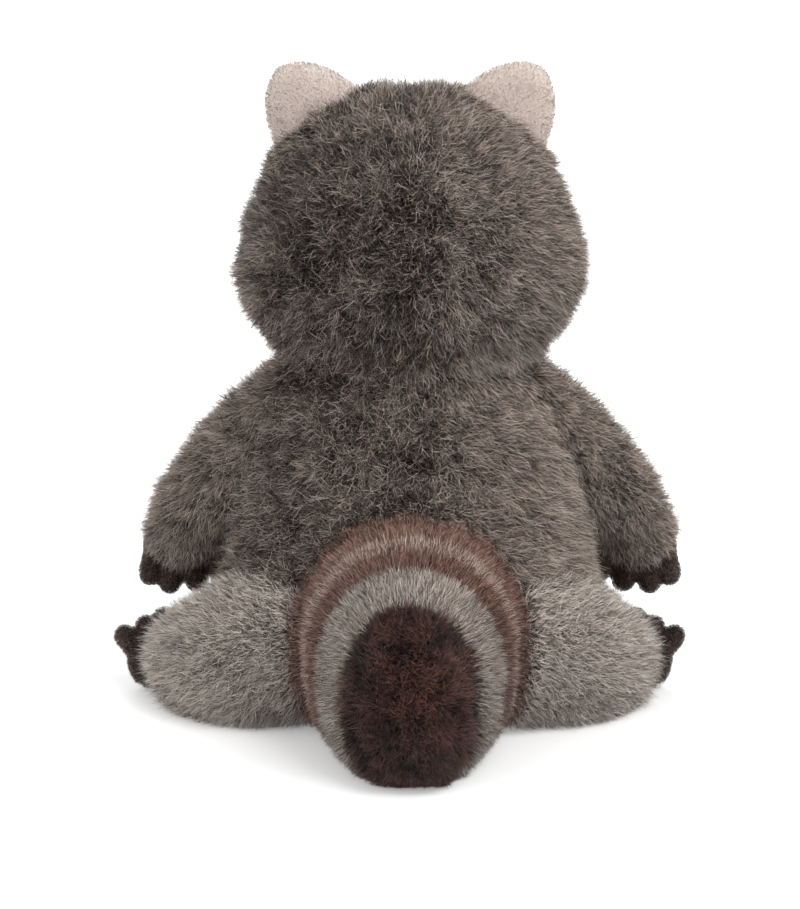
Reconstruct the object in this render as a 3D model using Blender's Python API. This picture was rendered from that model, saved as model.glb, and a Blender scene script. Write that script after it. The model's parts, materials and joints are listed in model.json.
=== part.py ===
"""Plush raccoon sitting on a floor, sewn from long-pile plush panels and stuffed.

Metres, +Z up. The origin is on the floor under the torso, and the animal faces -Y with its tail towards +Y.
Every stuffed piece is solid out to the mean height of its pile, and every sewn piece is its own object.
"""

import math

import bmesh
import bpy
import numpy as np
from mathutils import Vector

# Fits
SEAM_GAP = 0.0003  # between the faces of two pieces that are sewn together
STEM_CLEARANCE = 0.0003  # all round an eye's stem and its washer
PATCH_THICKNESS = 0.0024  # the dark plush patches sewn on the face

# Head
HEAD_WIDTH = 0.1365
HEAD_DEPTH = 0.107
HEAD_HEIGHT = 0.1115
HEAD_BOTTOM = 0.1285
HEAD_CENTRE_Y = -0.005
# shares of height, half width and half depth
HEAD_PROFILE = (
    (0.0, 0.0, 0.0),
    (0.012, 0.30, 0.33),
    (0.045, 0.56, 0.60),
    (0.10, 0.755, 0.79),
    (0.15, 0.86, 0.88),
    (0.25, 0.955, 0.95),
    (0.35, 1.0, 0.99),
    (0.46, 0.975, 1.0),
    (0.57, 0.92, 0.98),
    (0.68, 0.84, 0.92),
    (0.78, 0.715, 0.82),
    (0.87, 0.55, 0.68),
    (0.94, 0.365, 0.49),
    (0.985, 0.18, 0.27),
    (1.0, 0.0, 0.0),
)

# Torso
TORSO_WIDTH = 0.150
TORSO_DEPTH = 0.105
TORSO_HEIGHT = 0.152
TORSO_CENTRE_Y = 0.0050
TORSO_BACK_LEAN = -0.007  # how far the neck stands in front of the seat
TORSO_PROFILE = (
    (0.0, 0.90, 0.90),
    (0.035, 0.965, 0.965),
    (0.12, 1.0, 1.0),
    (0.24, 0.995, 1.0),
    (0.37, 0.955, 0.965),
    (0.50, 0.885, 0.905),
    (0.62, 0.80, 0.835),
    (0.74, 0.705, 0.765),
    (0.85, 0.60, 0.68),
    (0.93, 0.44, 0.52),
    (0.98, 0.22, 0.27),
    (1.0, 0.0, 0.0),
)

# Arms, from the shoulder to the wrist: distance from the middle, how far in front of the torso's middle,
# height, and radius
ARM_PATH = (
    (0.0250, 0.0080, 0.1310, 0.0105),
    (0.0400, 0.0100, 0.1240, 0.0136),
    (0.0531, 0.0130, 0.1142, 0.0150),
    (0.0664, 0.0170, 0.0988, 0.0162),
    (0.0782, 0.0200, 0.0820, 0.0170),
    (0.0858, 0.0228, 0.0690, 0.0174),
    (0.0905, 0.0245, 0.0598, 0.0142),
)
# Hands: a palm and four fingers that hang from it
PALM_CENTRE = (0.0905, 0.0262, 0.0530)
PALM_HALF_SIZE = (0.0160, 0.0078, 0.0092)
FINGER_TIPS = (
    (0.0752, 0.0262, 0.0425),
    (0.0850, 0.0270, 0.0384),
    (0.0954, 0.0270, 0.0376),
    (0.1030, 0.0262, 0.0412),
)
FINGER_SPREAD = 0.78  # the fingers' roots stand this much closer together than their tips
FINGER_ROOT_RISE = 0.0120
FINGER_RADIUS = 0.0051

# Legs, from the hip to the ankle: distance from the middle, Y, Z and radius
LEG_PATH = (
    (0.0360, 0.0320, 0.0290, 0.0265),
    (0.0480, 0.0335, 0.0285, 0.0282),
    (0.0600, 0.0310, 0.0262, 0.0275),
    (0.0700, 0.0255, 0.0232, 0.0252),
    (0.0785, 0.0185, 0.0200, 0.0218),
    (0.0845, 0.0120, 0.0172, 0.0186),
)
LIMB_END_DOME = 0.8  # how far a limb's round end stands out, of its radius
LEG_SHIFT = 0.0032  # both legs lie this far towards the left
# Feet: a flat sole piece with four toes, leaning outwards
FOOT_CENTRE = (0.0912, -0.0045, 0.0128)
FOOT_SHIFT = 0.0040  # as for the legs
FOOT_TURN_DEG = 22  # which way the sole faces, from straight ahead
FOOT_LEAN_DEG = 18  # from upright, outwards
FOOT_HALF_LENGTH = 0.0150
FOOT_HALF_WIDTH = 0.0138
FOOT_BODY_SHIFT = 0.0040  # how far outwards from its toes' middle the sole's middle lies
FOOT_HALF_THICKNESS = 0.0068
TOE_RADIUS = 0.0046
TOE_ACROSS = (-0.0082, -0.0024, 0.0052, 0.0143)
TOE_REACH = (0.0125, 0.0148, 0.0148, 0.0148)

# Ears, in their own plane: half widths at shares of the height
EAR_PLACE = (0.520, 0.03, 0.876)  # shares of the head's half width, half depth (forward) and height
EAR_TURN_DEG = 35  # how far an ear leans outwards from upright
EAR_HALF_BASE = 0.0203
EAR_HEIGHT = 0.0258
EAR_ROOT = 0.0080  # how far the ear's flat runs down inside the head's seam
EAR_THICKNESS = 0.0084
EAR_CUP = 9.0  # how strongly the ear's edges curl forward, per metre
EAR_PROFILE = ((0.0, 1.0), (0.27, 0.91), (0.53, 0.76), (0.76, 0.55), (0.92, 0.30), (1.0, 0.0))
LINING_SHARE = 0.74  # the front panel's size, of the ear's
LINING_THICKNESS = 0.0030

# Tail: Y, Z and radii across and upwards, from the root to the tip
TAIL_PATH = (
    (0.0380, 0.0410, 0.0405, 0.0415),
    (0.0560, 0.0420, 0.0430, 0.0425),
    (0.0720, 0.0410, 0.0415, 0.0420),
    (0.0880, 0.0385, 0.0366, 0.0397),
    (0.1000, 0.0365, 0.0318, 0.0379),
    (0.1110, 0.0345, 0.0268, 0.0356),
    (0.1210, 0.0325, 0.0218, 0.0312),
    (0.1290, 0.0305, 0.0158, 0.0238),
    (0.1340, 0.0290, 0.0088, 0.0140),
)
TAIL_BAND_ENDS = (0.0655, 0.0755, 0.0885, 0.1095)  # where one band's fabric ends and the next starts
TAIL_BANDS = ("tail_brown_root", "tail_pale_ring", "tail_brown_ring", "tail_grey_ring", "tail_tip")
TAIL_TIP_Y = 0.1368

# Face; places are shares of the head's half width, half depth (forward) and height
MUZZLE_PLACE = (0.0, 0.953, 0.269)
MUZZLE_HALF_SIZE = (0.0230, 0.0225, 0.0165)
NOSE_PLACE = (0.0, 1.355, 0.336)
NOSE_HALF_SIZE = (0.0080, 0.0055, 0.0058)
MASK_PLACE = (0.425, 1.0, 0.4305)
MASK_HALF_SIZE = (0.0205, 0.0125)
MASK_TILT_DEG = 24
EYE_PLACE = (0.374, 1.0, 0.444)
EYE_RADIUS = 0.0058
EYE_DOME = 0.0042
STEM_RADIUS = 0.0016
STEM_LENGTH = 0.0120
WASHER_RADIUS = 0.0055
WASHER_THICKNESS = 0.0014
WASHER_DEPTH = 0.0060  # from the eye's flange to the washer

# How squarely the lower half spreads on the floor: 2 is round
LEG_SPREAD = 3.2
TAIL_SPREAD = 4.0

# Mesh resolution
BALL_SIDES = 30
BALL_RINGS = 18
LIMB_SIDES = 18
LIMB_RINGS = 11
SMALL_SIDES = 10

COLOURS = {
    "grey_plush": (0.16, 0.135, 0.12, 1),
    "pale_grey_plush": (0.36, 0.31, 0.28, 1),
    "brown_plush": (0.19, 0.10, 0.075, 1),
    "dark_brown_plush": (0.05, 0.024, 0.018, 1),
    "paw_plush": (0.05, 0.036, 0.032, 1),
    "cream_plush": (0.66, 0.56, 0.50, 1),
    "nose_plush": (0.02, 0.017, 0.016, 1),
    "eye_plastic": (0.012, 0.009, 0.008, 1),
    "washer_plastic": (0.75, 0.75, 0.73, 1),
}


def clear_scene():
    for obj in list(bpy.data.objects):
        bpy.data.objects.remove(obj)


def material(slot):
    found = bpy.data.materials.get(slot)
    if found is None:
        found = bpy.data.materials.new(slot)
        found.use_nodes = True
        shader = found.node_tree.nodes["Principled BSDF"]
        shader.inputs["Base Color"].default_value = COLOURS[slot]
        shader.inputs["Roughness"].default_value = 0.25 if slot == "eye_plastic" else 0.9
    return found


def add_object(name, points, faces, slot):
    mesh = bpy.data.meshes.new(name)
    mesh.from_pydata([tuple(map(float, point)) for point in points], [], faces)
    work = bmesh.new()
    work.from_mesh(mesh)
    bmesh.ops.recalc_face_normals(work, faces=work.faces)
    if work.calc_volume(signed=True) < 0:
        bmesh.ops.reverse_faces(work, faces=work.faces)
    work.to_mesh(mesh)
    work.free()
    obj = bpy.data.objects.new(name, mesh)
    bpy.context.scene.collection.objects.link(obj)
    mesh.materials.append(material(slot))
    return obj


def spline(table, count):
    """Rows of the table, resampled along a smooth curve that passes through each of them."""
    table = np.asarray(table, float)
    ends = np.vstack([2 * table[0] - table[1], table, 2 * table[-1] - table[-2]])
    rows = []
    for t in np.linspace(0, len(table) - 1, count):
        i = min(int(t), len(table) - 2)
        u = t - i
        a, b, c, d = ends[i : i + 4]
        rows.append(
            0.5 * (2 * b + (c - a) * u + (2 * a - 5 * b + 4 * c - d) * u**2 + (3 * b - a - 3 * c + d) * u**3)
        )
    return np.array(rows)


def skin_rings(name, rings, slot, first_pole=None, last_pole=None):
    """A closed body through rings of points; an end without a pole is closed with a flat face."""
    sides = len(rings[0])
    points = [point for ring in rings for point in ring]
    faces = []
    for i in range(len(rings) - 1):
        for j in range(sides):
            k = (j + 1) % sides
            faces.append((i * sides + j, i * sides + k, (i + 1) * sides + k, (i + 1) * sides + j))
    last = (len(rings) - 1) * sides
    for start, pole in ((0, first_pole), (last, last_pole)):
        if pole is None:
            faces.append(tuple(range(start, start + sides)))
            continue
        points.append(pole)
        faces += [(start + j, start + (j + 1) % sides, len(points) - 1) for j in range(sides)]
    return add_object(name, points, faces, slot)


def turn_angles(sides):
    """Evenly spaced angles round a full turn."""
    return [2 * math.pi * (j + 0.5) / sides for j in range(sides)]


def upright_body(name, profile, size, bottom, centre_y, lean, slot, flat_base):
    """A stuffed body turned about an upright axis, with a different width and depth."""
    width, depth, height = size
    rows = spline(profile, BALL_RINGS + 2)
    kept = rows[0 if flat_base else 1 : -1]
    rings = []
    for share, across, along in kept:
        z = bottom + share * height
        y = centre_y + lean * share
        rings.append(
            [
                (max(across, 0.01) * width / 2 * math.cos(a), y + max(along, 0.01) * depth / 2 * math.sin(a), z)
                for a in turn_angles(BALL_SIDES)
            ]
        )
    return skin_rings(
        name,
        rings,
        slot,
        None if flat_base else (0, centre_y, bottom),
        (0, centre_y + lean, bottom + height),
    )


def section(sides, spread):
    """Points round a unit circle whose lower half is squarer when spread is above 2."""
    points = []
    for a in turn_angles(sides):
        x, z = math.cos(a), math.sin(a)
        if z < 0:
            x, z = math.copysign(abs(x) ** (2 / spread), x), -(abs(z) ** (2 / spread))
        points.append((x, z))
    return points


def limb(name, path, side, shift, spread, slot):
    """A stuffed tube with round ends, laid on the floor where it would dip below it."""
    rows = spline(path, LIMB_RINGS)
    centres = [Vector((side * x + shift, y, z)) for x, y, z, _ in rows]
    rings = []
    for i, (centre, row) in enumerate(zip(centres, rows)):
        before, after = centres[max(i - 1, 0)], centres[min(i + 1, len(centres) - 1)]
        run = (after - before).normalized()
        across = run.cross(Vector((0, 0, 1))).normalized()
        rise = across.cross(run).normalized()
        rings.append((centre, run, across, rise, row[3]))
    # Round each end with two smaller rings and a pole
    first, last = rings[0], rings[-1]
    for turn in (0.5, 0.85):
        reach, shrink = math.sin(turn * math.pi / 2), math.cos(turn * math.pi / 2)
        rings.insert(0, (first[0] - first[1] * first[4] * reach * LIMB_END_DOME, *first[1:4], first[4] * shrink))
        rings.append((last[0] + last[1] * last[4] * reach * LIMB_END_DOME, *last[1:4], last[4] * shrink))
    loops = [
        [
            on_floor(centre + (across * x + rise * z) * radius)
            for x, z in section(LIMB_SIDES, spread)
        ]
        for centre, _, across, rise, radius in rings
    ]
    return skin_rings(
        name,
        loops,
        slot,
        first[0] - first[1] * first[4] * LIMB_END_DOME,
        last[0] + last[1] * last[4] * LIMB_END_DOME,
    )


def on_floor(point):
    return Vector((point.x, point.y, max(point.z, 0.0)))


def ball(name, centre, half_size, slot, sides, axes=None):
    """An ellipsoid along the given axes."""
    axes = axes or (Vector((1, 0, 0)), Vector((0, 1, 0)), Vector((0, 0, 1)))
    centre = Vector(centre)
    rows = sides // 2
    rings = []
    for i in range(1, rows):
        polar = math.pi * i / rows
        rings.append(
            [
                centre
                + axes[0] * (half_size[0] * math.sin(polar) * math.cos(a))
                + axes[1] * (half_size[1] * math.sin(polar) * math.sin(a))
                - axes[2] * (half_size[2] * math.cos(polar))
                for a in turn_angles(sides)
            ]
        )
    return skin_rings(
        name, rings, slot, centre - axes[2] * half_size[2], centre + axes[2] * half_size[2]
    )


def capsule(name, start, end, radius, slot):
    """A finger or a toe: a short tube with round ends."""
    start, end = Vector(start), Vector(end)
    run = (end - start).normalized()
    across = run.orthogonal().normalized()
    other = run.cross(across)
    rings = []
    for centre, turns in ((start, (-0.6, 0.0)), (end, (0.0, 0.4, 0.72))):
        for turn in turns:
            reach, wide = radius * math.sin(turn * math.pi / 2), radius * math.cos(turn * math.pi / 2)
            rings.append(
                [
                    centre + run * reach + (across * math.cos(a) + other * math.sin(a)) * wide
                    for a in turn_angles(SMALL_SIDES)
                ]
            )
    return skin_rings(name, rings, slot, start - run * radius, end + run * radius)


def boolean(target, cutter, operation):
    cutter.hide_render = True
    cutter.display_type = "WIRE"
    modifier = target.modifiers.new(f"{operation.lower()} {cutter.name}", "BOOLEAN")
    modifier.object = cutter
    modifier.operation = operation
    modifier.solver = "EXACT"
    return modifier


def grown_copy(obj, name, grow):
    """A helper with the shape of a piece, and its skin moved outwards along its normals."""
    copy = bpy.data.objects.new(name, obj.data.copy())
    bpy.context.scene.collection.objects.link(copy)
    copy.hide_render = True
    copy.display_type = "WIRE"
    modifier = copy.modifiers.new("grow", "DISPLACE")
    modifier.strength = grow
    modifier.mid_level = 0
    return copy


def seat(piece, neighbour, gap=SEAM_GAP):
    """Shapes a piece to the neighbour that it is sewn to, a seam's gap away from it."""
    name = f"form_{neighbour.name}_{gap * 1e4:.0f}"
    form = bpy.data.objects.get(name) or grown_copy(neighbour, name, gap)
    boolean(piece, form, "DIFFERENCE")


def join(pieces):
    """One sewn piece from overlapping lobes."""
    first, *others = pieces
    for other in others:
        boolean(first, other, "UNION")
    return first


def before_torso(row):
    """The row with its distance in front of the torso's middle turned into Y."""
    return (row[0], TORSO_CENTRE_Y - row[1], *row[2:])


def at_head(place, side=1):
    """A point from its shares of the head's half width, half depth (forward) and height."""
    across, forward, high = place
    return Vector(
        (
            side * across * HEAD_WIDTH / 2,
            HEAD_CENTRE_Y - forward * HEAD_DEPTH / 2,
            HEAD_BOTTOM + high * HEAD_HEIGHT,
        )
    )


def hand(label, side):
    palm = before_torso(PALM_CENTRE)
    centre = (side * palm[0], *palm[1:])
    lobes = [ball(f"hand_{label}", centre, PALM_HALF_SIZE, "paw_plush", SMALL_SIDES + 4)]
    for i, tip in enumerate(FINGER_TIPS):
        x, y, z = before_torso(tip)
        root = (side * (palm[0] + (x - palm[0]) * FINGER_SPREAD), (y + palm[1]) / 2, z + FINGER_ROOT_RISE)
        lobes.append(capsule(f"finger_{label}_{i}", root, (side * x, y, z), FINGER_RADIUS, "paw_plush"))
    return join(lobes)


def foot(label, side):
    turn, lean = math.radians(FOOT_TURN_DEG), math.radians(FOOT_LEAN_DEG)
    facing = Vector((side * math.sin(turn), -math.cos(turn), 0))
    outward = Vector((side * math.cos(turn), math.sin(turn), 0))
    up = Vector((0, 0, 1))
    long_axis = outward * math.sin(lean) + up * math.cos(lean)
    across = outward * math.cos(lean) - up * math.sin(lean)
    centre = Vector((side * FOOT_CENTRE[0] + FOOT_SHIFT, *FOOT_CENTRE[1:]))
    half_size = (FOOT_HALF_WIDTH, FOOT_HALF_THICKNESS, FOOT_HALF_LENGTH)
    middle = centre + across * FOOT_BODY_SHIFT
    lobes = [ball(f"foot_{label}", middle, half_size, "paw_plush", SMALL_SIDES + 6, (across, facing, long_axis))]
    for i, (offset, reach) in enumerate(zip(TOE_ACROSS, TOE_REACH)):
        tip = centre + across * offset + long_axis * reach
        root = centre + across * offset * FINGER_SPREAD + long_axis * reach * 0.35
        lobes.append(capsule(f"toe_{label}_{i}", root, tip, TOE_RADIUS, "paw_plush"))
    for lobe in lobes:
        for vertex in lobe.data.vertices:
            vertex.co = on_floor(vertex.co)
    return join(lobes)


def ear_outline(scale):
    """Half widths and heights round the ear, from one end of its base over the tip to the other."""
    rows = spline(EAR_PROFILE, 9)
    right = [(EAR_HALF_BASE * max(wide, 0) * scale, EAR_HEIGHT * high) for high, wide in rows]
    left = [(-x, z) for x, z in reversed(right[:-1])]
    lift = (1 - scale) * EAR_HEIGHT * 0.35
    outline = [(x, z * scale + lift) for x, z in right + left]
    return [(EAR_HALF_BASE * scale, -EAR_ROOT * scale), *outline, (-EAR_HALF_BASE * scale, -EAR_ROOT * scale)]


def ear_plane(side):
    lean = math.radians(EAR_TURN_DEG)
    across = Vector((side * math.cos(lean), 0, -math.sin(lean)))
    up = Vector((side * math.sin(lean), 0, math.cos(lean)))
    return at_head(EAR_PLACE, side), across, up, Vector((0, 1, 0))


def ear_pad(name, side, scale, thickness, offset, slot):
    """A flat sewn pad in the ear's plane, thickest in its middle and curled forward at its edges."""
    origin, across, up, back = ear_plane(side)
    outline = ear_outline(scale)
    middle = np.mean(outline, axis=0)

    def place(share, level):
        ring = []
        for x, z in outline:
            u, v = middle[0] + (x - middle[0]) * share, middle[1] + (z - middle[1]) * share
            curl = EAR_CUP * u * u
            ring.append(origin + across * u + up * v + back * (offset + level * thickness / 2 - curl))
        return ring

    rings = [place(*row) for row in ((0.45, -1.0), (0.80, -0.86), (0.96, -0.42), (1.0, 0.0), (0.96, 0.42), (0.80, 0.86), (0.45, 1.0))]
    poles = [origin + across * middle[0] + up * middle[1] + back * (offset + level * thickness / 2) for level in (-1, 1)]
    return skin_rings(name, rings, slot, *poles)


def tail_rings(low, high, count):
    rows = spline([(y, z, wide, tall) for y, z, wide, tall in TAIL_PATH], 120)
    rings = []
    for y in np.linspace(low, high, count):
        middle, wide, tall = (float(np.interp(y, rows[:, 0], rows[:, i])) for i in (1, 2, 3))
        rings.append(
            [on_floor(Vector((wide * x, y, middle + tall * z))) for x, z in section(BALL_SIDES - 4, TAIL_SPREAD)]
        )
    return rings


def tail():
    starts = (TAIL_PATH[0][0], *TAIL_BAND_ENDS)
    slots = ("brown_plush", "pale_grey_plush", "brown_plush", "pale_grey_plush", "dark_brown_plush")
    counts = (5, 3, 3, 4, 7)
    bands = []
    for name, slot, low, high, count in zip(TAIL_BANDS, slots, starts, (*TAIL_BAND_ENDS, TAIL_PATH[-1][0]), counts):
        tip = name == TAIL_BANDS[-1]
        rings = tail_rings(low + SEAM_GAP / 2, high if tip else high - SEAM_GAP / 2, count)
        pole = Vector((0, TAIL_TIP_Y, TAIL_PATH[-1][1])) if tip else None
        bands.append(skin_rings(name, rings, slot, None, pole))
    return bands


def face_point(head_y, x, z):
    """The point of the head's front at this width and height, and its outward direction."""
    share = (z - HEAD_BOTTOM) / HEAD_HEIGHT
    rows = spline(HEAD_PROFILE, 200)
    wide = float(np.interp(share, rows[:, 0], rows[:, 1])) * HEAD_WIDTH / 2
    deep = float(np.interp(share, rows[:, 0], rows[:, 2])) * HEAD_DEPTH / 2
    y = head_y - deep * math.sqrt(max(1 - (x / wide) ** 2, 0))
    outward = Vector((x / wide**2, (y - head_y) / deep**2, 0)).normalized()
    return Vector((x, y, z)), outward


def mask_patch(label, side, head):
    """A thin oval patch that follows the head's front."""
    turn = math.radians(MASK_TILT_DEG)
    across = Vector((math.cos(turn), 0, -side * math.sin(turn)))
    up = Vector((side * math.sin(turn), 0, math.cos(turn)))
    front, back = HEAD_CENTRE_Y - HEAD_DEPTH, HEAD_CENTRE_Y - HEAD_DEPTH * 0.12
    middle = at_head(MASK_PLACE, side)
    rings = [
        [
            Vector((middle.x, y, middle.z))
            + across * (MASK_HALF_SIZE[0] * math.cos(a))
            + up * (MASK_HALF_SIZE[1] * math.sin(a))
            for a in turn_angles(LIMB_SIDES)
        ]
        for y in (front, back)
    ]
    patch = skin_rings(f"mask_{label}", rings, "paw_plush")
    outer = bpy.data.objects.get("mask_outer") or grown_copy(head, "mask_outer", SEAM_GAP + PATCH_THICKNESS)
    boolean(patch, outer, "INTERSECT")
    seat(patch, head)
    return patch


def turned(name, centre, axis, profile, slot, sides):
    """A body turned about an axis, from (distance along it, radius) pairs whose ends are on the axis."""
    across = axis.orthogonal().normalized()
    other = axis.cross(across)
    rings = [
        [centre + axis * along + (across * math.cos(a) + other * math.sin(a)) * radius for a in turn_angles(sides)]
        for along, radius in profile[1:-1]
    ]
    return skin_rings(name, rings, slot, centre + axis * profile[0][0], centre + axis * profile[-1][0])


def washer(name, centre, axis, slot):
    """A flat ring that grips the stem."""
    across = axis.orthogonal().normalized()
    other = axis.cross(across)
    corners = (
        (0, STEM_RADIUS + STEM_CLEARANCE),
        (0, WASHER_RADIUS),
        (-WASHER_THICKNESS, WASHER_RADIUS),
        (-WASHER_THICKNESS, STEM_RADIUS + STEM_CLEARANCE),
    )
    points = [
        centre + axis * along + (across * math.cos(a) + other * math.sin(a)) * radius
        for along, radius in corners
        for a in turn_angles(SMALL_SIDES + 6)
    ]
    sides = SMALL_SIDES + 6
    faces = [
        (i * sides + j, i * sides + (j + 1) % sides, (i + 1) % 4 * sides + (j + 1) % sides, (i + 1) % 4 * sides + j)
        for i in range(4)
        for j in range(sides)
    ]
    return add_object(name, points, faces, slot)


def eye(label, side, head, patch):
    """A safety eye: a dome with a stem through patch and head, locked by a washer in a pocket of the stuffing."""
    aim = at_head(EYE_PLACE, side)
    surface, outward = face_point(HEAD_CENTRE_Y, aim.x, aim.z)
    flange = surface + outward * (SEAM_GAP * 2 + PATCH_THICKNESS * 0.55)
    dome = [
        (-STEM_LENGTH, 0),
        (-STEM_LENGTH + STEM_RADIUS / 2, STEM_RADIUS * 0.8),
        (-STEM_LENGTH + STEM_RADIUS, STEM_RADIUS),
        (0, STEM_RADIUS),
        (0, EYE_RADIUS * 0.96),
        (EYE_DOME * 0.18, EYE_RADIUS),
        (EYE_DOME * 0.55, EYE_RADIUS * 0.84),
        (EYE_DOME * 0.85, EYE_RADIUS * 0.50),
        (EYE_DOME, 0),
    ]
    turned(f"eye_{label}", flange, outward, dome, "eye_plastic", SMALL_SIDES + 6)
    hole = [
        (-STEM_LENGTH - STEM_CLEARANCE, 0),
        (-STEM_LENGTH - STEM_CLEARANCE, STEM_RADIUS + STEM_CLEARANCE),
        (-WASHER_DEPTH - WASHER_THICKNESS - STEM_CLEARANCE, STEM_RADIUS + STEM_CLEARANCE),
        (-WASHER_DEPTH - WASHER_THICKNESS - STEM_CLEARANCE, WASHER_RADIUS + STEM_CLEARANCE),
        (-WASHER_DEPTH + STEM_CLEARANCE, WASHER_RADIUS + STEM_CLEARANCE),
        (-WASHER_DEPTH + STEM_CLEARANCE, STEM_RADIUS + STEM_CLEARANCE),
        (-SEAM_GAP, STEM_RADIUS + STEM_CLEARANCE),
        (-SEAM_GAP, EYE_RADIUS + STEM_CLEARANCE),
        (EYE_DOME * 2, EYE_RADIUS + STEM_CLEARANCE),
        (EYE_DOME * 2, 0),
    ]
    pocket = turned(f"eye_pocket_{label}", flange, outward, hole, "washer_plastic", SMALL_SIDES + 8)
    for piece in (head, patch):
        boolean(piece, pocket, "DIFFERENCE")
    washer(f"eye_washer_{label}", flange - outward * WASHER_DEPTH, outward, "washer_plastic")


def build():
    clear_scene()
    head = upright_body(
        "head",
        HEAD_PROFILE,
        (HEAD_WIDTH, HEAD_DEPTH, HEAD_HEIGHT),
        HEAD_BOTTOM,
        HEAD_CENTRE_Y,
        0.0,
        "grey_plush",
        False,
    )
    torso = upright_body(
        "torso",
        TORSO_PROFILE,
        (TORSO_WIDTH, TORSO_DEPTH, TORSO_HEIGHT),
        0.0,
        TORSO_CENTRE_Y,
        TORSO_BACK_LEAN,
        "grey_plush",
        True,
    )
    seat(torso, head)
    tail_root = tail()[0]
    seat(tail_root, torso)
    for label, side in (("left", 1), ("right", -1)):
        arm = limb(f"arm_{label}", [before_torso(row) for row in ARM_PATH], side, 0.0, 2, "grey_plush")
        seat(arm, torso)
        seat(arm, head)
        seat(hand(label, side), arm)
        leg = limb(f"leg_{label}", LEG_PATH, side, LEG_SHIFT, LEG_SPREAD, "grey_plush")
        seat(leg, torso)
        seat(leg, tail_root)
        seat(foot(label, side), leg)
        ear = ear_pad(f"ear_{label}", side, 1.0, EAR_THICKNESS, 0.0, "cream_plush")
        seat(ear, head)
        lining = ear_pad(
            f"ear_lining_{label}", side, LINING_SHARE, LINING_THICKNESS, -EAR_THICKNESS / 2, "cream_plush"
        )
        seat(lining, ear)
        seat(lining, head)
        patch = mask_patch(label, side, head)
        eye(label, side, head, patch)
    muzzle = ball("muzzle", at_head(MUZZLE_PLACE), MUZZLE_HALF_SIZE, "cream_plush", LIMB_SIDES)
    seat(muzzle, head)
    nose = ball("nose", at_head(NOSE_PLACE), NOSE_HALF_SIZE, "nose_plush", SMALL_SIDES + 6)
    seat(nose, muzzle)
    for label in ("left", "right"):
        seat(bpy.data.objects[f"mask_{label}"], muzzle)


build()
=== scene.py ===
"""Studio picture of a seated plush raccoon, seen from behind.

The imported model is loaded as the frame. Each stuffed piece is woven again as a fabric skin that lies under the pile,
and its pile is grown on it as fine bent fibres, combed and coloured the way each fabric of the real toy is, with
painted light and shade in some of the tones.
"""

import json
import logging
import math
from dataclasses import dataclass, replace
from enum import Enum
from typing import Any, Callable, ClassVar

import bpy
import numpy as np
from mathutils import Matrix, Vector
from mathutils.bvhtree import BVHTree

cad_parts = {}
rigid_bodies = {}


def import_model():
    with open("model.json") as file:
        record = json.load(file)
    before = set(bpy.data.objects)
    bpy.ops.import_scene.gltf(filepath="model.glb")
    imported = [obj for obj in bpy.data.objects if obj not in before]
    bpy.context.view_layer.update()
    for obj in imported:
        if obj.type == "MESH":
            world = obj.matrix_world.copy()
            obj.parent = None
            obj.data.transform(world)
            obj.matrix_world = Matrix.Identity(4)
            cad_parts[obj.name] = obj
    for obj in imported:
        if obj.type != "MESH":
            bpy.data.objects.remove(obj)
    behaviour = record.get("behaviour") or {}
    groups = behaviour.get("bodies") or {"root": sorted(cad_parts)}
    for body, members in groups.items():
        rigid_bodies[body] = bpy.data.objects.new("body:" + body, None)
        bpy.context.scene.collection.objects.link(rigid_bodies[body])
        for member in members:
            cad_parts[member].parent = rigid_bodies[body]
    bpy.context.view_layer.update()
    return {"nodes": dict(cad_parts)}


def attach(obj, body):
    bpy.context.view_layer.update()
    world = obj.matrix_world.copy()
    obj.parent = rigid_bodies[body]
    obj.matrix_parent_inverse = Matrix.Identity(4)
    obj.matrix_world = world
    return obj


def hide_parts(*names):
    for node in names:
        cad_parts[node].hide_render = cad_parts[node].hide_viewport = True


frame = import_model()

log = logging.getLogger("plush")
Array = np.ndarray

SEED = 20417
FLOOR_CLEARANCE = 0.0003
FLOOR_FADE = 3.0  # the floor holds a skin up over a third of the height that a seam does
WELD = 1e-5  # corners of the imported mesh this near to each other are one
BAKE_UV = "OFBake"
# The root colour holds over the lowest 30 % of a fibre: partly the fibres' own dark roots, partly painted shade deep
# in the pile.
RAMP_STOPS = (0.30, 0.70, 1.0)  # where a fibre's root, middle and tip colours stand along it


class Slot(Enum):
    """The record's material slots."""

    GREY = "grey_plush"
    PALE = "pale_grey_plush"
    BROWN = "brown_plush"
    DARK = "dark_brown_plush"
    PAW = "paw_plush"
    CREAM = "cream_plush"
    NOSE = "nose_plush"
    EYE = "eye_plastic"


def unit(vectors: Array) -> Array:
    """Scales vectors to length one.

    Args:
        vectors: Rows of vectors.

    Returns:
        The rows, each of length one.
    """
    return vectors / np.maximum(np.linalg.norm(vectors, axis=-1, keepdims=True), 1e-12)


def smoothstep(values: Array, low: float, high: float) -> Array:
    """A soft step from 0 at low to 1 at high.

    Args:
        values: Any numbers.
        low: Where the step starts.
        high: Where the step ends, which may be below low.

    Returns:
        The step's value for each number.
    """
    t = np.clip((values - low) / (high - low), 0, 1)
    return t * t * (3 - 2 * t)


class NoiseField:
    """Smooth three-component noise in space, the same on every run."""

    TABLE = 4096

    def __init__(self, size: float, seed: int) -> None:
        """Args:
        size: The size of the noise's cells, in metres.
        seed: Picks one noise among many.
        """
        self.size = size
        self.table = np.random.default_rng(seed).uniform(-1, 1, (self.TABLE, 3))

    def __call__(self, points: Array) -> Array:
        """Args:
            points: Rows of positions.

        Returns:
            Rows of three values from -1 to 1.
        """
        cell = points / self.size
        base = np.floor(cell).astype(np.int64)
        part = cell - base
        part = part * part * (3 - 2 * part)
        total = np.zeros_like(points)
        for corner in np.ndindex(2, 2, 2):
            index = (base + corner) @ np.array([73856093, 19349663, 83492791])
            weight = np.prod(np.where(np.array(corner) == 1, part, 1 - part), axis=1)
            total += weight[:, None] * self.table[index % self.TABLE]
        return total


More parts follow.
